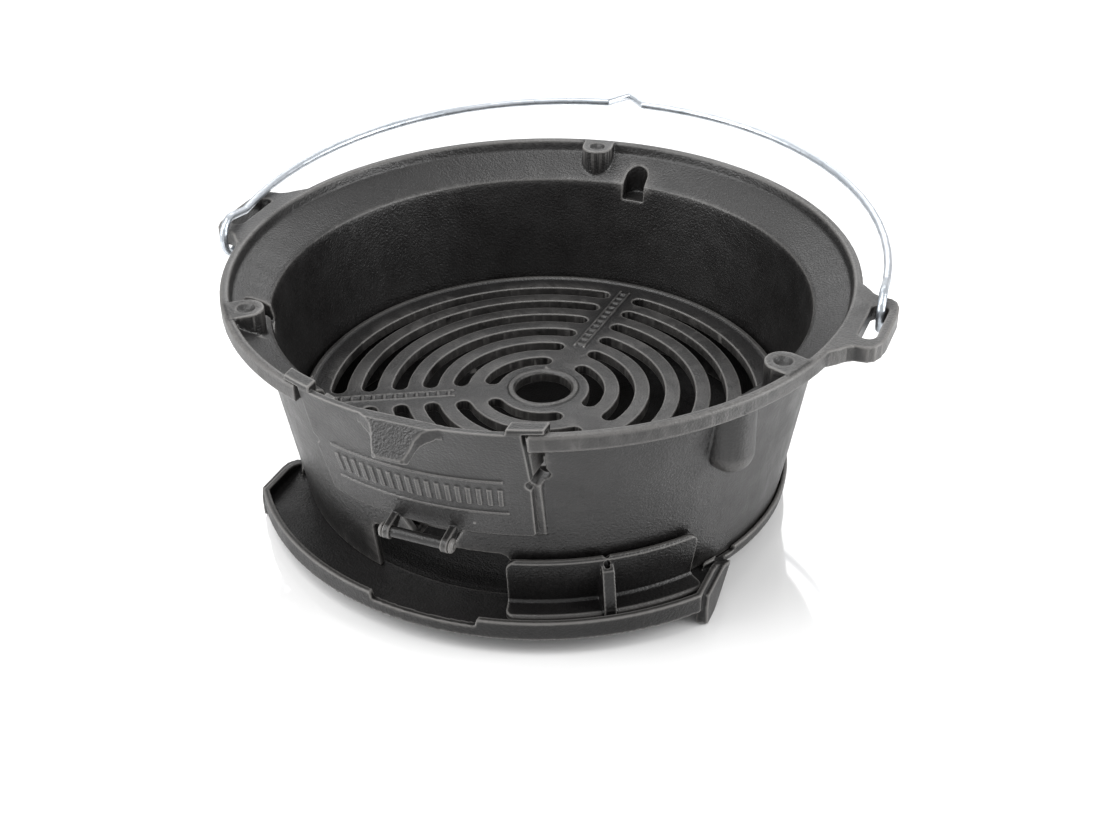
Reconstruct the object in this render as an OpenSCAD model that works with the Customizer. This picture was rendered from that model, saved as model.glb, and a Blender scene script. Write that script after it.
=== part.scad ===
// Portable cast-iron fire pot: fire bowl on an ash tray, with coal grate, hung fuel door, air slider and wire bail.
// Millimetres, +Z up, floor at z = 0, bowl axis on Z, fuel door towards -Y, bail lugs along X.

/* [Bowl] */
// Height of the rim land above the floor
rim_z = 136; // [110:1:170]
// Outer radius of the rim flange
rim_r = 170; // [140:1:200]
// Thickness of the rim flange at its outer edge
flange_t = 9.5; // [6:0.5:14]
// Outer radius of the bowl wall at its foot
foot_r = 134.9; // [110:0.1:160]
// Outward lean of the wall, radius gained per unit height
lean = 0.17; // [0.05:0.01:0.3]
// Radius of the circle the three pot bosses stand on
boss_pcr = 157.7; // [145:0.1:165]
// Clock angle of the first pot boss
boss_a = 100; // [90:1:120]
// Clock angle of the first grate pocket
pocket_a = 90; // [60:1:120]
// Half length of each bail lug along the rim
lug_half = 27; // [20:0.5:35]
// Outermost reach of each bail lug
lug_x = 189.5; // [182:0.5:200]

/* [Openings] */
// Half width of the fuel window
win_half = 50; // [35:1:55]
// Height of the window sill above the floor
sill_z = 71; // [60:1:90]
// Half width of the lower air opening
air_half = 38; // [25:1:48]
// Top of the lower air opening above the floor
air_z = 47; // [35:1:55]

/* [Tray] */
// Top face of the tray plate above the floor
plate_z = 14; // [10:0.5:20]
// Radius of the front apron
apron_r = 161; // [150:1:175]
// Half width between the apron's two end walls
apron_half = 126.5; // [110:0.5:140]
// Top of the apron's upturned rim above the floor
apron_rim_z = 20.5; // [17:0.5:26]

/* [Grate] */
// Outer radius of the coal grate
grate_r = 134.2; // [120:0.1:136]
// Top face of the coal grate's outer bead above the floor
grate_z = 57.9; // [50:0.1:65]
// Overall thickness of the coal grate
grate_t = 7.1; // [5:0.1:10]
// Width of each curved slot
slot_w = 8.5; // [6:0.5:11]
// Radial distance from one ring of slots to the next
slot_pitch = 17; // [14:0.5:18]
// Clock angle of the first spoke
spoke_a = 88; // [60:1:120]

/* [Door] */
// Half width of the fuel door at the rim
door_half = 57; // [48:0.5:62]
// Bottom edge of the fuel door above the floor
door_z = 66; // [60:0.5:74]
// Thickness of the fuel door plate
door_t = 4.5; // [3:0.5:6]
// Distance of the grip bar in front of the bowl axis
bar_y = 158; // [155:0.5:165]
// Height of the grip bar above the floor
bar_z = 63; // [58:0.5:68]

/* [Slider] */
// Clock angle of the slider's middle when parked
slide_a = -55; // [-60:1:-50]
// Half of the angle the slider spans
slide_half = 19.8; // [17:0.1:22]
// Top edge of the slider wall above the floor
slide_z = 46.5; // [40:0.5:50]
// Gap between the slider wall and the bowl
slide_gap = 1.9; // [1:0.1:3]

/* [Bail] */
// Radius of the bail wire
wire_r = 2.3; // [1.5:0.1:3.5]
// Radius of the bail arc
bail_r = 180.6; // [176:0.1:186]
// Yaw of the bail in its long lug slots
bail_yaw = 7.1; // [0:0.1:8]
// Angle the bail lies above level when folded back
bail_tilt = 3.6; // [0:0.1:10]

/* [Hidden] */
e = 0.01;
function wall_r(z) = foot_r + lean * (z - plate_z);
hinge_z = rim_z - 4.5;
lug_t = 9;
eye_r = 10.2;
leg_y = 19.6;
leg_z = 4.6;
eye_end = atan2(leg_z, leg_y) + acos(eye_r / norm([leg_y, leg_z]));
peak_a = 3.6;
peak_h = 11;
door_top_r = 169.6;
door_k = 0.28;
function door_r(z) = door_top_r - door_k * (rim_z - z);

module at(a) { rotate([0, 0, a]) children(); }
// prism through the front of the pot: outline in X and Z, from y = -y1 to y = -y0
module front(y0, y1) { translate([0, -y0, 0]) rotate([90, 0, 0]) linear_extrude(y1 - y0) children(); }
// prism across X: outline in Y and Z, from x0 to x1
module across(x0, x1) { translate([x0, 0, 0]) rotate([90, 0, 90]) linear_extrude(x1 - x0) children(); }

module bowl_shell() {
    rotate_extrude($fn = 180) polygon([
        [foot_r, plate_z], [wall_r(rim_z - 20), rim_z - 20], [wall_r(rim_z - 20) + 1.4, rim_z - 17.4],
        [rim_r - 7.5, rim_z - 11], [rim_r - 4.5, rim_z - flange_t],
        [rim_r - 1.3, rim_z - flange_t], [rim_r, rim_z - flange_t + 1.3],
        [rim_r, rim_z - 1.2], [rim_r - 1.1, rim_z], [rim_r - 3.9, rim_z], [rim_r - 4.8, rim_z - 0.9],
        [rim_r - 6, rim_z - 6], [147.2, rim_z - 16], [145.4, rim_z - 17.6], [144.8, rim_z - 20.5],
        [138.0, 58], [137.0, 50.5], [129, 50.5], [128.4, 49.8], [128.4, 47.5], [134.6, 40.5], [130.7, plate_z]]);
}
// tongue-shaped boss a hair above the rim land, dropping to the ledge
module boss() {
    translate([0, 0, rim_z - 24]) {
        translate([boss_pcr, 0, 0]) cylinder(r = 9.2, h = 30, $fn = 64);
        translate([boss_pcr, -9.2, 0]) cube([9.5, 18.4, 30]);
    }
}
// upright half-round bulge outside the wall that gives the grate pocket its depth
module bulge() {
    difference() {
        union() {
            translate([150.5, 0, rim_z - 41]) cylinder(r = 12, h = 31.5, $fn = 64);
            translate([150.5, 0, rim_z - 41]) sphere(r = 12, $fn = 64);
        }
        // nothing of it reaches through the wall or the ledge
        rotate_extrude($fn = 180) polygon([
            [0, rim_z - 60], [140.7, rim_z - 60], [145.5, rim_z - 20.5], [146.1, rim_z - 18.1], [147.7, rim_z - 16.4],
            [164.4, rim_z - 6.5], [164.4, rim_z], [0, rim_z]]);
    }
}
module pocket() {
    translate([151.5, 0, rim_z - 27]) cylinder(r = 6.6, h = 40, $fn = 48);
    translate([138, -6.6, rim_z - 27]) cube([13.5, 13.2, 40]);
}
module lug() {
    translate([0, 0, rim_z - lug_t]) difference() {
        linear_extrude(lug_t) union() {
            polygon([[160, -40], [166, -37.5], [170.5, -33], [173, -29.8], [177, -lug_half - 0.3], [183, -lug_half], [186.4, -24.4],
                     [188.4, -19.5], [lug_x, -12], [lug_x, 12], [188.4, 19.5], [186.4, 24.4], [183, lug_half],
                     [177, lug_half + 0.3], [173, 29.8], [170.5, 33], [166, 37.5], [160, 40]]);
        }
        translate([0, 0, -1]) linear_extrude(lug_t + 2) union() {
            translate([175.4, -14]) square([8.8, 28]);
            translate([179.8, 13.6]) circle(r = 4.4, $fn = 40);
            translate([179.8, -13.6]) circle(r = 4.4, $fn = 40);
        }
    }
}
// raised frame round the window that the door lies on
module door_frame() {
    intersection() {
        rotate_extrude($fn = 180) polygon([
            [wall_r(62) - 2, 62], [door_r(62) - door_t - 0.4, 62],
            [door_r(rim_z - 4) - door_t - 0.4, rim_z - 4], [wall_r(rim_z - 4) - 2, rim_z - 4]]);
        front(120, 175) polygon([[-57, 62.2], [57, 62.2], [60, rim_z - 4], [-60, rim_z - 4]]);
    }
}
module fire_bowl() color([0.12, 0.12, 0.125]) {
    difference() {
        union() {
            bowl_shell();
            for (i = [0:2]) at(pocket_a + 120 * i) bulge();
            intersection() {
                for (i = [0:2]) at(boss_a + 120 * i) boss();
                rotate_extrude($fn = 180) polygon([
                    [143, rim_z - 20], [151.6, rim_z - 20], [153, rim_z - 17.6], [162, rim_z - 10.8], [165, rim_z - 9.3],
                    [168.2, rim_z - 9.3], [168.2, rim_z + 0.4], [147, rim_z + 0.4]]);
            }
            intersection() {
                union() { lug(); mirror([1, 0, 0]) lug(); }
                difference() {
                    cylinder(r = 260, h = 300, $fn = 180);
                    translate([0, 0, -1]) cylinder(r = rim_r - 2, h = 302, $fn = 180);
                }
            }
            door_frame();
        }
        // shallow dimples in the three bosses
        for (i = [0:2]) at(boss_a + 120 * i) translate([boss_pcr, 0, rim_z + 3.8]) sphere(r = 6, $fn = 48);
        for (i = [0:2]) at(pocket_a + 120 * i) intersection() {
            pocket();
            translate([0, 0, rim_z - 30]) cylinder(r = 158.1, h = 40, $fn = 180);
        }
        // fuel window, open at the rim
        front(110, 180) union() {
            translate([-win_half, sill_z + 6]) square([2 * win_half, 80]);
            translate([-win_half + 6, sill_z]) square([2 * win_half - 12, 80]);
            for (s = [-1, 1]) translate([s * (win_half - 6), sill_z + 6]) circle(r = 6, $fn = 40);
        }
        // room for the door plate in the rim flange
        front(100, 180) translate([-door_half - 0.6, rim_z - 16]) square([2 * door_half + 1.2, 40]);
        // relief slits beside the door, each ending in a round hole
        for (s = [-1, 1]) front(120, 180) union() {
            translate([s * (door_half + 1.1) - 1.5, rim_z - 34]) square([3, 60]);
            translate([s * (door_half + 0.8), rim_z - 34]) circle(r = 3.3, $fn = 40);
        }
        // lower air and ash opening with its funnel-shaped middle
        front(110, 180) union() {
            translate([-air_half, plate_z - 5]) square([2 * air_half, air_z - plate_z - 1]);
            translate([-air_half + 6, plate_z - 5]) square([2 * air_half - 12, air_z - plate_z + 5]);
            for (s = [-1, 1]) translate([s * (air_half - 6), air_z - 6]) circle(r = 6, $fn = 40);
            polygon([[-8.5, air_z - 1], [8.5, air_z - 1], [18.5, sill_z - 6.5], [-18.5, sill_z - 6.5]]);
        }
    }
}

module apron_area(r, w) {
    intersection() {
        circle(r = r, $fn = 180);
        translate([-w, -200]) square([2 * w, 142]);
    }
}
module foot_plate() {
    across(apron_half - 3.2, apron_half + 3) polygon([
        [-97.6, plate_z - 2], [-97.2, 1.4], [-95.6, 0], [-86.5, 0], [-80, 2], [-70, 7], [-62, 11], [-57.5, plate_z - 1], [-62, plate_z + 1.5], [-69, plate_z + 4], [-74, apron_rim_z - 2], [-96, apron_rim_z - 2]]);
}
module ash_tray() color([0.13, 0.13, 0.135]) {
    difference() {
        union() {
            // dished pan with a low rim that locates the bowl
            rotate_extrude($fn = 180) polygon([
                [0, 3], [116, 3], [119, 4], [128, plate_z - 4], [137.2, plate_z - 4], [138, plate_z - 3], [138.5, 16.6], [137.9, 17.2],
                [136.6, 17.2], [136, 16.6], [135.7, plate_z], [131, plate_z - 0.2], [125, plate_z - 1.3], [119, plate_z - 3.2],
                [113, plate_z - 5.1], [107, plate_z - 6.4], [100, 7], [0, 7]]);
            difference() {
                translate([0, 0, plate_z - 4]) linear_extrude(4) apron_area(apron_r, apron_half);
                translate([0, 0, 0]) cylinder(r = 130, h = 40, $fn = 180);
            }
            // upturned rim of the apron
            difference() {
                translate([0, 0, plate_z - 4]) linear_extrude(apron_rim_z - plate_z + 4) apron_area(apron_r, apron_half);
                translate([0, 0, plate_z - 5]) linear_extrude(40) intersection() {
                    circle(r = apron_r - 3.4, $fn = 180);
                    translate([-apron_half + 3.2, -200]) square([2 * apron_half - 6.4, 300]);
                }
            }
            foot_plate();
            mirror([1, 0, 0]) foot_plate();
            // rear foot
            translate([0, 124, 0]) cylinder(r1 = 7.5, r2 = 9, h = 11, $fn = 48);
        }
        // the apron's end walls run down to the plate towards the bowl
        for (s = [-1, 1]) across(s * (apron_half + 1.5) - 6, s * (apron_half + 1.5) + 6)
            polygon([[-78, apron_rim_z + 3], [-78, apron_rim_z + 0.1], [-72, apron_rim_z - 1], [-66, plate_z + 3], [-61, plate_z + 0.6], [-50, plate_z + 0.6], [-50, apron_rim_z + 3]]);
        // the low middle of the apron rim
        front(150, 170) polygon([[-31.5, 30], [-28.5, plate_z + 2.4], [28.5, plate_z + 2.4], [31.5, 30]]);
        // the rim that would stand in front of the bowl's foot is left off
        intersection() {
            translate([0, 0, plate_z]) rotate_extrude($fn = 180) polygon([[134, 0], [140, 0], [140, 10], [134, 10]]);
            translate([-118, -200, plate_z]) cube([236, 140, 12]);
        }
    }
}

module slot_arc(i) {
    r = 13 + slot_pitch * (i + 1);
    da = (7.75 + slot_w / 2) / r * 180 / PI;
    rotate_extrude(angle = 120 - 2 * da, start = da, $fn = 120) translate([r - slot_w / 2, 0]) square([slot_w, 20]);
    // ends a hair narrower than the slot, so that no two faces only touch
    at(da) translate([r, 0, 0]) cylinder(d = slot_w - 0.3, h = 20, $fn = 32);
    at(120 - da) translate([r, 0, 0]) cylinder(d = slot_w - 0.3, h = 20, $fn = 32);
}
module coal_grate() color([0.11, 0.11, 0.115]) {
    difference() {
        translate([0, 0, grate_z - grate_t]) rotate_extrude($fn = 180) polygon([
            [15.9, 0.8], [16.7, 0], [grate_r - 1, 0], [grate_r, 1], [grate_r, grate_t - 1.2], [grate_r - 1.2, grate_t],
            [grate_r - 3.2, grate_t], [grate_r - 4.2, grate_t - 1], [20.2, grate_t - 1], [19.3, grate_t], [17.2, grate_t], [15.9, grate_t - 1.2]]);
        for (s = [0:2], i = [0:5]) at(spoke_a + 120 * s) translate([0, 0, grate_z - grate_t - 6]) slot_arc(i);
    }
}

module door_outline() {
    polygon([[-door_half, rim_z + 0.2], [-door_half, rim_z - 30], [-54.6, door_z + 1], [-53.6, door_z],
             [53.6, door_z], [54.6, door_z + 1], [door_half, rim_z - 30], [door_half, rim_z + 0.2]]);
}
module door_hook() {
    // reaches over the rim land beside the door and down behind it
    intersection() {
        rotate_extrude($fn = 180) polygon([
            [161.8, rim_z - 2.2], [164.2, rim_z - 2.2], [164.6, rim_z + 0.4], [door_top_r - 0.4, rim_z + 0.4],
            [door_top_r, rim_z + 0.8], [door_top_r - 0.6, rim_z + 3], [162.6, rim_z + 3], [161.8, rim_z + 2.2]]);
        translate([door_half - 3.5, -170, 0]) cube([13, 40, 200]);
    }
    // root of the hook on the door's top edge
    intersection() {
        rotate_extrude($fn = 180) polygon([
            [161.8, rim_z - 3], [door_r(rim_z - 3) - 0.2, rim_z - 3], [door_top_r, rim_z + 0.8], [door_top_r - 0.6, rim_z + 3],
            [162.6, rim_z + 3], [161.8, rim_z + 2.2]]);
        translate([door_half - 7, -170, 0]) cube([7, 40, 200]);
    }
}
module fuel_door() color([0.14, 0.14, 0.145]) {
    difference() {
        union() {
            intersection() {
                rotate_extrude($fn = 180) polygon([
                    [door_r(door_z) - door_t, door_z], [door_r(door_z), door_z], [door_top_r, rim_z],
                    [door_top_r - 0.6, rim_z + 0.2], [door_top_r - door_t + 1.2, rim_z + 0.2], [door_top_r - door_t, rim_z - 1]]);
                front(100, 180) door_outline();
            }
            door_hook();
            mirror([1, 0, 0]) door_hook();
            // grip tongue leaning out of the top edge
            intersection() {
                across(-23, 23) polygon([
                    [-164.5, rim_z + 0.2], [-door_top_r - 0.6, rim_z + 0.2], [-181, rim_z - 12.6], [-180.6, rim_z - 14.4], [-178.2, rim_z - 15.4],
                    [-door_top_r + 1.2, rim_z - 5.2], [-164.5, rim_z - 8]]);
                linear_extrude(200) polygon([
                    [-22, -160], [-21.5, -167.6], [-17.5, -169.8], [-13.6, -171.6], [-11.2, -174], [-9.8, -177.4], [-8.2, -180], [-5.6, -181.2],
                    [5.6, -181.2], [8.2, -180], [9.8, -177.4], [11.2, -174], [13.6, -171.6], [17.5, -169.8], [21.5, -167.6], [22, -160]]);
            }
            // two ears under the plate
            for (s = [-1, 1]) across(s * 15.6 - 1.9, s * 15.6 + 1.9) union() {
                polygon([[-146.6, 68.6], [-150.2, 68.6], [-bar_y - 0.5, bar_z + 3.9], [-bar_y, bar_z - 3.9], [-151.5, 61.4], [-146.6, door_z + 0.3]]);
                translate([-bar_y, bar_z]) circle(r = 4, $fn = 40);
            }
        }
        for (s = [-1, 1]) front(120, 180) translate([s * (door_half + 0.8), rim_z - 34]) circle(r = 3.3, $fn = 40);
        translate([-30, -bar_y, bar_z]) rotate([0, 90, 0]) cylinder(r = 2.8, h = 60, $fn = 40);
    }
}
module door_grip_bar() color([0.16, 0.16, 0.165]) translate([0, -bar_y, bar_z]) rotate([90, 0, 90]) rotate_extrude($fn = 48)
    polygon([[0, -20.2], [2.4, -20], [3.5, -19.2], [3.8, -18.4], [3.5, -17.9], [2.8, -17.8], [2.8, 17.8], [3.5, 17.9], [3.8, 18.4],
             [3.5, 19.2], [2.4, 20], [0, 20.2]]);

module air_slider() color([0.14, 0.14, 0.145]) at(slide_a) {
    difference() {
        union() {
            rotate_extrude(angle = 2 * slide_half, start = -slide_half, $fn = 180) polygon([
                [wall_r(plate_z) + slide_gap, plate_z + 0.3], [150.8, plate_z + 0.3], [152.4, plate_z + 1.6], [152.4, plate_z + 3], [151.4, plate_z + 4],
                [142, plate_z + 4], [140.5, plate_z + 5.2], [wall_r(slide_z) + slide_gap + 3.6, slide_z - 1.2], [wall_r(slide_z) + slide_gap + 2.4, slide_z],
                [wall_r(slide_z) + slide_gap + 0.9, slide_z], [wall_r(slide_z) + slide_gap, slide_z - 0.9]]);
            // sloped rib with a small seat for a lifter
            translate([0, 3.1, 0]) rotate([90, 0, 0]) linear_extrude(6.2) polygon([
                [139.5, plate_z + 2], [153.6, plate_z + 2], [153.6, plate_z + 5.4], [148.6, slide_z - 6.5], [143, slide_z - 3], [140.5, slide_z - 6]]);
        }
        translate([147.6, 0, slide_z - 12]) rotate([0, -20, 0]) cylinder(r = 1.6, h = 20, $fn = 32);
        // rounded top corners of the wall and outer corners of the flange
        for (s = [0, 1]) mirror([0, s, 0]) at(slide_half) {
            translate([130, -6, slide_z - 6]) difference() {
                cube([20, 9, 9]);
                translate([-1, 0, 0]) rotate([0, 90, 0]) cylinder(r = 6, h = 30, $fn = 48);
            }
            translate([147.4, -5, plate_z - 4]) difference() {
                cube([9, 8, 14]);
                translate([0, 0, -1]) cylinder(r = 5, h = 20, $fn = 48);
            }
        }
    }
}

// closed round tube along a list of points
tube_sides = 12;
function unit(v) = v / norm(v);
function tangent(p, i) = unit(p[min(i + 1, len(p) - 1)] - p[max(i - 1, 0)]);
function across_to(u, t) = unit(u - (u * t) * t);
function frames(p, i, u) = i == len(p) ? [] : let (v = across_to(u, tangent(p, i))) concat([v], frames(p, i + 1, v));
module tube(p, r) {
    n = len(p);
    m = tube_sides;
    us = frames(p, 0, [1, 0, 0]);
    pts = [for (i = [0:n - 1]) let (t = tangent(p, i), u = us[i], v = cross(t, u)) for (k = [0:m - 1])
        p[i] + r * (cos(360 * k / m) * u + sin(360 * k / m) * v)];
    polyhedron(pts, concat(
        [[for (k = [0:m - 1]) k]], [[for (k = [m - 1:-1:0]) (n - 1) * m + k]],
        [for (i = [0:n - 2], k = [0:m - 1]) let (a = i * m + k, b = i * m + (k + 1) % m) [b, a, a + m]],
        [for (i = [0:n - 2], k = [0:m - 1]) let (a = i * m + k, b = i * m + (k + 1) % m) [b, a + m, b + m]]));
}
// middle line of the bail in its own plane: an open eye round each lug's web, a short leg, the arc, and the bent peak
function eye_pts(s) = [for (i = [0:16]) let (a = 336 - (336 - eye_end) * i / 16) [s * bail_r, eye_r * cos(a), eye_r * sin(a)]];
function arc_pts(s) = [for (i = [0:18]) let (a = (90 - peak_a) * i / 18) [s * bail_r * cos(a), leg_y + bail_r * sin(a), leg_z]];
function side_pts(s) = concat(eye_pts(s), arc_pts(s));
module bail_handle() color([0.78, 0.79, 0.8]) translate([0, 0, hinge_z]) rotate([0, 0, bail_yaw]) rotate([bail_tilt, 0, 0])
    tube(concat(side_pts(1), [[0, leg_y + bail_r + peak_h, leg_z]], [for (i = [35:-1:0]) side_pts(-1)[i]]), wire_r);

fire_bowl();
ash_tray();
coal_grate();
fuel_door();
door_grip_bar();
air_slider();
bail_handle();
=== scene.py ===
"""Looks for the cast-iron charcoal fire pot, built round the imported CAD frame."""
import math

import bmesh
import bpy
from mathutils import Matrix, Vector


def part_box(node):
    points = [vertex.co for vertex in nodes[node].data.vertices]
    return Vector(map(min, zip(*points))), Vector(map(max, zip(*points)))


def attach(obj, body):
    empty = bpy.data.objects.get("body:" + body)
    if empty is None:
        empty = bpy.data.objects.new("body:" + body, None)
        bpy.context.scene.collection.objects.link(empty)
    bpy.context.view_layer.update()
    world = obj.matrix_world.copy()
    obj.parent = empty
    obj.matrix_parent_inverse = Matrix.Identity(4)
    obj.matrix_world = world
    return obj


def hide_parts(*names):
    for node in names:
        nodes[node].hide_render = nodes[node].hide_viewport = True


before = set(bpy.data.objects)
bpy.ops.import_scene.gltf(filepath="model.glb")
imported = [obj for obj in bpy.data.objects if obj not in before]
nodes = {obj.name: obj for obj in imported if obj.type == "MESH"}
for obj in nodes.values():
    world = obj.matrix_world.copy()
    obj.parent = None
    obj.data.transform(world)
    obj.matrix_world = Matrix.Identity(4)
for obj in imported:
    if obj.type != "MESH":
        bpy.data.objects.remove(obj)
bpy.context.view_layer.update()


scene = bpy.context.scene


# ---------------------------------------------------------------- camera
def camera():
    cam = bpy.data.cameras.new("camera")
    cam.lens = 52.21
    cam.sensor_fit = "HORIZONTAL"
    cam.sensor_width = 36.0
    cam.clip_start = 0.01
    cam.clip_end = 50
    ob = bpy.data.objects.new("camera", cam)
    scene.collection.objects.link(ob)
    fwd = Vector((-0.32853888, 0.77639912, -0.53783511))
    right = Vector((0.92418231, 0.38171248, -0.01351453))
    up = right.cross(fwd).normalized()
    right = fwd.cross(up).normalized()
    m = Matrix((right, up, -fwd.normalized())).transposed().to_4x4()
    m.translation = Vector((0.3004091, -0.70090698, 0.5269051))
    ob.matrix_world = m
    scene.camera = ob


camera()


# ---------------------------------------------------------------- node helpers
def new_mat(name):
    mat = bpy.data.materials.new(name)
    mat.use_nodes = True
    nt = mat.node_tree
    for n in list(nt.nodes):
        nt.nodes.remove(n)
    out = nt.nodes.new("ShaderNodeOutputMaterial")
    b = nt.nodes.new("ShaderNodeBsdfPrincipled")
    nt.links.new(b.outputs["BSDF"], out.inputs["Surface"])
    return mat, nt, b


def node(nt, kind, **kw):
    n = nt.nodes.new(kind)
    for k, v in kw.items():
        if k.startswith("in_"):
            n.inputs[k[3:].replace("_", " ")].default_value = v
        else:
            setattr(n, k, v)
    return n


def noise(nt, vec, scale, detail=3.0, rough=0.55, dist=0.0):
    n = node(nt, "ShaderNodeTexNoise")
    n.inputs["Scale"].default_value = scale
    n.inputs["Detail"].default_value = detail
    n.inputs["Roughness"].default_value = rough
    n.inputs["Distortion"].default_value = dist
    nt.links.new(vec, n.inputs["Vector"])
    return n.outputs["Fac"]


def ramp(nt, fac, stops):
    r = node(nt, "ShaderNodeValToRGB")
    els = r.color_ramp.elements
    while len(els) < len(stops):
        els.new(0.5)
    for e, (p, c) in zip(els, stops):
        e.position = p
        e.color = (c, c, c, 1) if isinstance(c, (int, float)) else (*c, 1)
    nt.links.new(fac, r.inputs["Fac"])
    return r.outputs["Color"]


def math_node(nt, op, a, b=None, c=None):
    n = node(nt, "ShaderNodeMath", operation=op)
    for i, v in enumerate((a, b, c)):
        if v is None:
            continue
        if isinstance(v, (int, float)):
            n.inputs[i].default_value = v
        else:
            nt.links.new(v, n.inputs[i])
    return n.outputs[0]


def mix_col(nt, fac, a, b, blend="MIX"):
    n = node(nt, "ShaderNodeMix", data_type="RGBA", blend_type=blend)
    for sock, v in ((n.inputs[0], fac), (n.inputs[6], a), (n.inputs[7], b)):
        if isinstance(v, (int, float)):
            sock.default_value = v
        elif isinstance(v, tuple):
            sock.default_value = (*v, 1)
        else:
            nt.links.new(v, sock)
    return n.outputs[2]


def cast_iron(name, shade=1.0, rough=0.46, seed=0.0, grain=1.0, edge=1.0, spec=0.62):
    """Seasoned black cast iron: fine sand-cast grain, faint mottling, edges lightened to grey as a painted
    highlight.
    """
    mat, nt, b = new_mat(name)
    geo = node(nt, "ShaderNodeNewGeometry")
    tc = node(nt, "ShaderNodeTexCoord")
    shift = node(nt, "ShaderNodeVectorMath", operation="ADD")
    nt.links.new(tc.outputs["Object"], shift.inputs[0])
    shift.inputs[1].default_value = (seed, seed * 0.7, seed * 1.3)
    v = shift.outputs[0]
    # surface relief: casting sand grains, pits and a broad unevenness
    fine = noise(nt, v, 1150.0, 4.0, 0.65)
    mid = noise(nt, v, 620.0, 3.0, 0.5)
    broad = noise(nt, v, 28.0, 2.0, 0.5)
    vor = node(nt, "ShaderNodeTexVoronoi", feature="SMOOTH_F1")
    vor.inputs["Scale"].default_value = 850.0
    vor.inputs["Smoothness"].default_value = 0.6
    nt.links.new(v, vor.inputs["Vector"])
    relief = math_node(nt, "MULTIPLY_ADD", vor.outputs["Distance"], 0.9, fine)
    relief = math_node(nt, "MULTIPLY_ADD", mid, 1.1, relief)
    bump = node(nt, "ShaderNodeBump")
    bump.inputs["Strength"].default_value = 0.5 * grain
    bump.inputs["Distance"].default_value = 0.00036
    nt.links.new(relief, bump.inputs["Height"])
    bump2 = node(nt, "ShaderNodeBump")
    bump2.inputs["Strength"].default_value = 0.22
    bump2.inputs["Distance"].default_value = 0.0011
    nt.links.new(broad, bump2.inputs["Height"])
    nt.links.new(bump.outputs["Normal"], bump2.inputs["Normal"])
    nt.links.new(bump2.outputs["Normal"], b.inputs["Normal"])
    # colour
    base = ramp(nt, mid, [(0.3, (0.0042 * shade, 0.0038 * shade, 0.0038 * shade)), (0.75, (0.0105 * shade, 0.0098 * shade, 0.0097 * shade))])
    mott = ramp(nt, noise(nt, v, 9.0, 5.0, 0.6), [(0.35, 0.75), (0.7, 1.25)])
    base = mix_col(nt, 1.0, base, mott, "MULTIPLY")
    # painted highlight: sharp edges (high pointiness) are mixed towards grey so they read as bright edge lines
    painted_edge_highlight = ramp(nt, geo.outputs["Pointiness"], [(0.502, 0.0), (0.532, 1.0)])
    painted_edge_highlight = math_node(nt, "MULTIPLY", painted_edge_highlight, 0.75 * edge)
    base = mix_col(nt, painted_edge_highlight, base, (0.165 * shade, 0.159 * shade, 0.153 * shade))
    nt.links.new(base, b.inputs["Base Color"])
    rr = ramp(nt, noise(nt, v, 60.0, 4.0, 0.6), [(0.3, rough - 0.07), (0.7, rough + 0.09)])
    nt.links.new(rr, b.inputs["Roughness"])
    b.inputs["Specular IOR Level"].default_value = spec
    b.inputs["IOR"].default_value = 1.5
    return mat


def wire_metal(name):
    """Bright galvanised wire with a faint drawn grain along its length."""
    mat, nt, b = new_mat(name)
    tc = node(nt, "ShaderNodeTexCoord")
    v = tc.outputs["Object"]
    mid = noise(nt, v, 420.0, 4.0, 0.6)
    big = noise(nt, v, 45.0, 3.0, 0.6)
    col = ramp(nt, big, [(0.3, (0.40, 0.44, 0.48)), (0.7, (0.58, 0.61, 0.65))])
    nt.links.new(col, b.inputs["Base Color"])
    rr = ramp(nt, mid, [(0.3, 0.26), (0.7, 0.42)])
    nt.links.new(rr, b.inputs["Roughness"])
    b.inputs["Metallic"].default_value = 0.9
    bump = node(nt, "ShaderNodeBump")
    bump.inputs["Strength"].default_value = 0.25
    bump.inputs["Distance"].default_value = 0.0002
    nt.links.new(mid, bump.inputs["Height"])
    nt.links.new(bump.outputs["Normal"], b.inputs["Normal"])
    return mat


MATS = {
    "fire_bowl": cast_iron("iron_bowl", 1.0, 0.37, 0.0),
    "ash_tray": cast_iron("iron_tray", 1.0, 0.40, 3.1, spec=0.36),
    "coal_grate": cast_iron("iron_grate", 0.95, 0.38, 5.7),
    "fuel_door": cast_iron("iron_door", 1.1, 0.37, 7.9),
    "door_grip_bar": cast_iron("iron_bar", 1.3, 0.34, 9.3, 0.7),
    "air_slider": cast_iron("iron_slider", 1.05, 0.36, 11.3, spec=0.5),
    "bail_handle": wire_metal("galvanised_wire"),
}


# ---------------------------------------------------------------- castings
def box_mesh(bm, x0, x1, y0, y1, z0, z1, place=None):
    verts = [bm.verts.new(Vector((x, y, z)) if place is None else place @ Vector((x, y, z)))
             for z in (z0, z1) for y in (y0, y1) for x in (x0, x1)]
    for q in ((0, 2, 3, 1), (4, 5, 7, 6), (0, 1, 5, 4), (2, 6, 7, 3), (0, 4, 6, 2), (1, 3, 7, 5)):
        bm.faces.new([verts[i] for i in q])


def link(name, mesh):
    ob = bpy.data.objects.new(name, mesh)
    scene.collection.objects.link(ob)
    return ob


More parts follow.
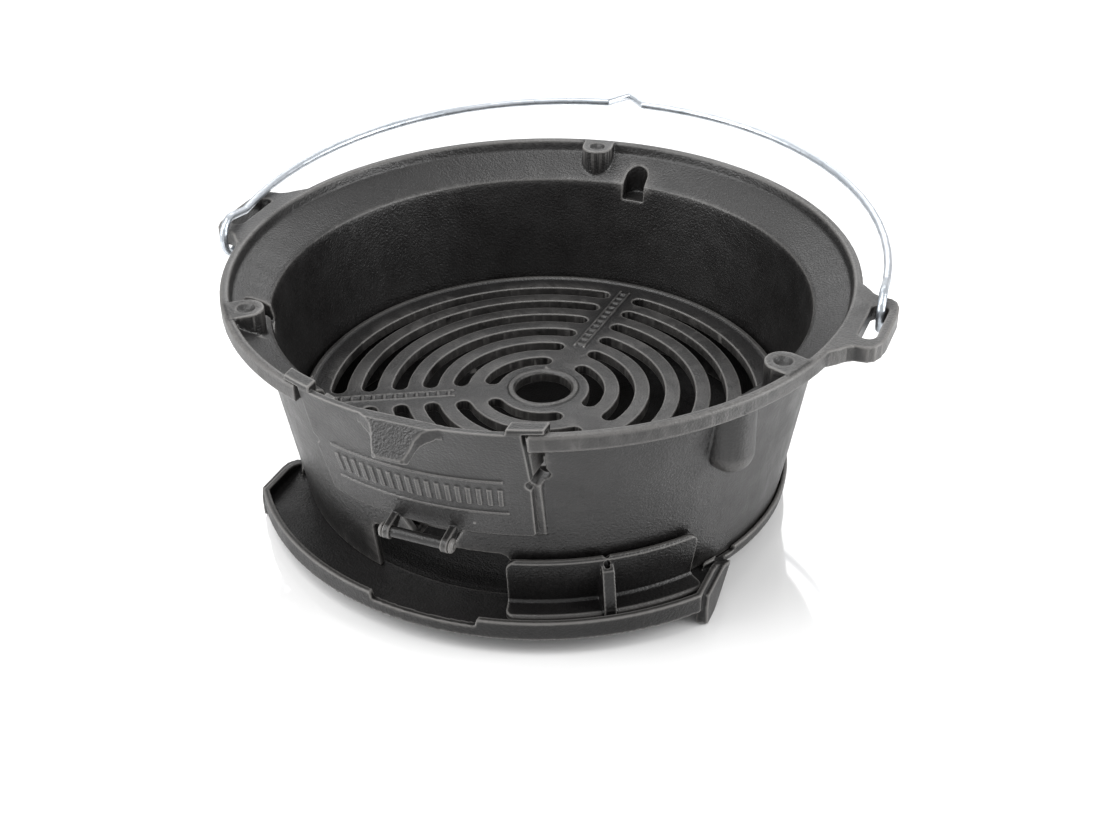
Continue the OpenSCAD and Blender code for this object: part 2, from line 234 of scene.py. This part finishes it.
def casting(source, name, body, voxel, rounds=2, most=190000, extra=None):
    """A cast copy of a CAD node: the same solid with the small rounded edges and corners that a sand casting has."""
    src = nodes[source]
    bm = bmesh.new()
    bm.from_mesh(src.data)
    bmesh.ops.remove_doubles(bm, verts=bm.verts, dist=1e-6)
    if extra:
        extra(bm)
    me = bpy.data.meshes.new(name)
    bm.to_mesh(me)
    bm.free()
    ob = link(name, me)
    mod = ob.modifiers.new("remesh", "REMESH")
    mod.mode = "VOXEL"
    mod.voxel_size = voxel
    mod.adaptivity = 0.0
    mod.use_smooth_shade = True
    sm = ob.modifiers.new("smooth", "SMOOTH")
    sm.factor = 0.5
    sm.iterations = rounds
    dg = bpy.context.evaluated_depsgraph_get()
    out = bpy.data.meshes.new_from_object(ob.evaluated_get(dg))
    ob.modifiers.clear()
    faces = 2 * len(out.polygons)
    if faces > most:
        # flat stretches need few faces, so thin the mesh and keep it dense along the rounded edges
        ob.data = out
        dec = ob.modifiers.new("thin", "DECIMATE")
        dec.ratio = most / faces
        dg = bpy.context.evaluated_depsgraph_get()
        thin = bpy.data.meshes.new_from_object(ob.evaluated_get(dg))
        ob.modifiers.clear()
        ob.data = thin
        bpy.data.meshes.remove(out)
        out = thin
    ob.data = out
    out.name = name
    bpy.data.meshes.remove(me)
    for p in out.polygons:
        p.use_smooth = True
    out.materials.clear()
    out.materials.append(MATS[source])
    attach(ob, body)
    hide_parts(source)
    return ob


def door_relief(bm):
    """A plain fluted band between two thin lines on the door's face, where such doors carry cast lettering."""
    def at(x, z, out):
        r = 0.1696 - 0.28 * (0.136 - z) + out
        a = math.asin(x / r)
        tilt = math.atan(0.28)
        n = Vector((math.sin(a) * math.cos(tilt), -math.cos(a) * math.cos(tilt), -math.sin(tilt)))
        t = Vector((math.cos(a), math.sin(a), 0))
        u = t.cross(n)
        m = Matrix((t, n, u)).transposed().to_4x4()
        m.translation = Vector((math.sin(a) * r, -math.cos(a) * r, z))
        return m
    for i in range(18):
        x = -0.0425 + 0.005 * i
        box_mesh(bm, -0.00125, 0.00125, -0.0015, 0.0009, -0.0058, 0.0058, at(x, 0.0935, 0.0))
    for z in (0.1045, 0.0825):
        for i in range(30):
            x = -0.0435 + 0.003 * i
            box_mesh(bm, -0.0016, 0.0016, -0.0015, 0.0008, -0.0009, 0.0009, at(x, z, 0.0))


def grate_relief(bm):
    """A thin raised bar along two of the three spokes."""
    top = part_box("coal_grate")[1].z - 0.001
    for a in (math.radians(88), math.radians(208)):
        m = Matrix.Rotation(a, 4, "Z")
        box_mesh(bm, 0.050, 0.122, -0.0034, -0.0022, top - 0.001, top + 0.0008, m)
        box_mesh(bm, 0.050, 0.122, 0.0022, 0.0034, top - 0.001, top + 0.0008, m)
        for k in range(12):
            x = 0.053 + 0.006 * k
            box_mesh(bm, x - 0.0008, x + 0.0008, -0.0022, 0.0022, top - 0.001, top + 0.0008, m)


fine = 0.0006
casting("fire_bowl", "bowl_casting", "bowl", fine * 1.05)
casting("ash_tray", "tray_casting", "tray", fine * 1.05)
casting("coal_grate", "grate_casting", "grate", fine * 0.85, extra=grate_relief)
casting("fuel_door", "door_casting", "door", fine * 0.7, extra=door_relief)
casting("air_slider", "slider_casting", "slider", fine * 0.7)
casting("bail_handle", "bail_smooth", "bail", fine * 0.75, rounds=4)
nodes["door_grip_bar"].data.materials.clear()
nodes["door_grip_bar"].data.materials.append(MATS["door_grip_bar"])


# ---------------------------------------------------------------- floor, world, lights
def floor():
    bm = bmesh.new()
    s = 6.0
    vs = [bm.verts.new((x, y, 0)) for x, y in ((-s, -s), (s, -s), (s, s), (-s, s))]
    bm.faces.new(vs)
    me = bpy.data.meshes.new("floor")
    bm.to_mesh(me)
    bm.free()
    ob = link("floor", me)
    ob.location.z = -0.0002
    mat, nt, b = new_mat("floor_gloss")
    tc = node(nt, "ShaderNodeTexCoord")
    n = noise(nt, tc.outputs["Object"], 3.0, 2.0)
    nt.links.new(ramp(nt, n, [(0.0, 0.94), (1.0, 0.96)]), b.inputs["Base Color"])
    b.inputs["Roughness"].default_value = 0.06
    b.inputs["IOR"].default_value = 2.4
    me.materials.append(mat)


floor()

world = bpy.data.worlds.new("studio")
scene.world = world
world.use_nodes = True
wt = world.node_tree
bg = wt.nodes["Background"]
bg.inputs["Color"].default_value = (1, 1, 1, 1)
lp = wt.nodes.new("ShaderNodeLightPath")
st = wt.nodes.new("ShaderNodeMapRange")
st.inputs["To Min"].default_value = 0.72
st.inputs["To Max"].default_value = 1.0
wt.links.new(lp.outputs["Is Camera Ray"], st.inputs["Value"])
wt.links.new(st.outputs["Result"], bg.inputs["Strength"])


def area(name, at, to, size, power, shape="RECTANGLE", col=(1, 1, 1)):
    li = bpy.data.lights.new(name, "AREA")
    li.shape = shape
    li.size, li.size_y = size
    li.energy = power
    li.color = col
    ob = bpy.data.objects.new(name, li)
    scene.collection.objects.link(ob)
    ob.location = at
    ob.rotation_euler = (Vector(to) - Vector(at)).to_track_quat("-Z", "Y").to_euler()
    return ob


area("key_left", (-1.05, -0.75, 0.75), (0, 0, 0.08), (0.7, 1.0), 13)
area("key_right", (1.2, 0.15, 0.6), (0, 0, 0.08), (0.7, 1.0), 13)
area("back", (-0.45, 1.3, 0.95), (0, 0, 0.1), (1.5, 0.7), 7)
area("top", (-0.35, -0.3, 1.6), (0, 0, 0.05), (1.1, 1.1), 15)

scene.view_settings.view_transform = "Standard"
scene.view_settings.look = "None"
scene.view_settings.exposure = 0.0
scene.view_settings.gamma = 1.0

bpy.context.view_layer.update()
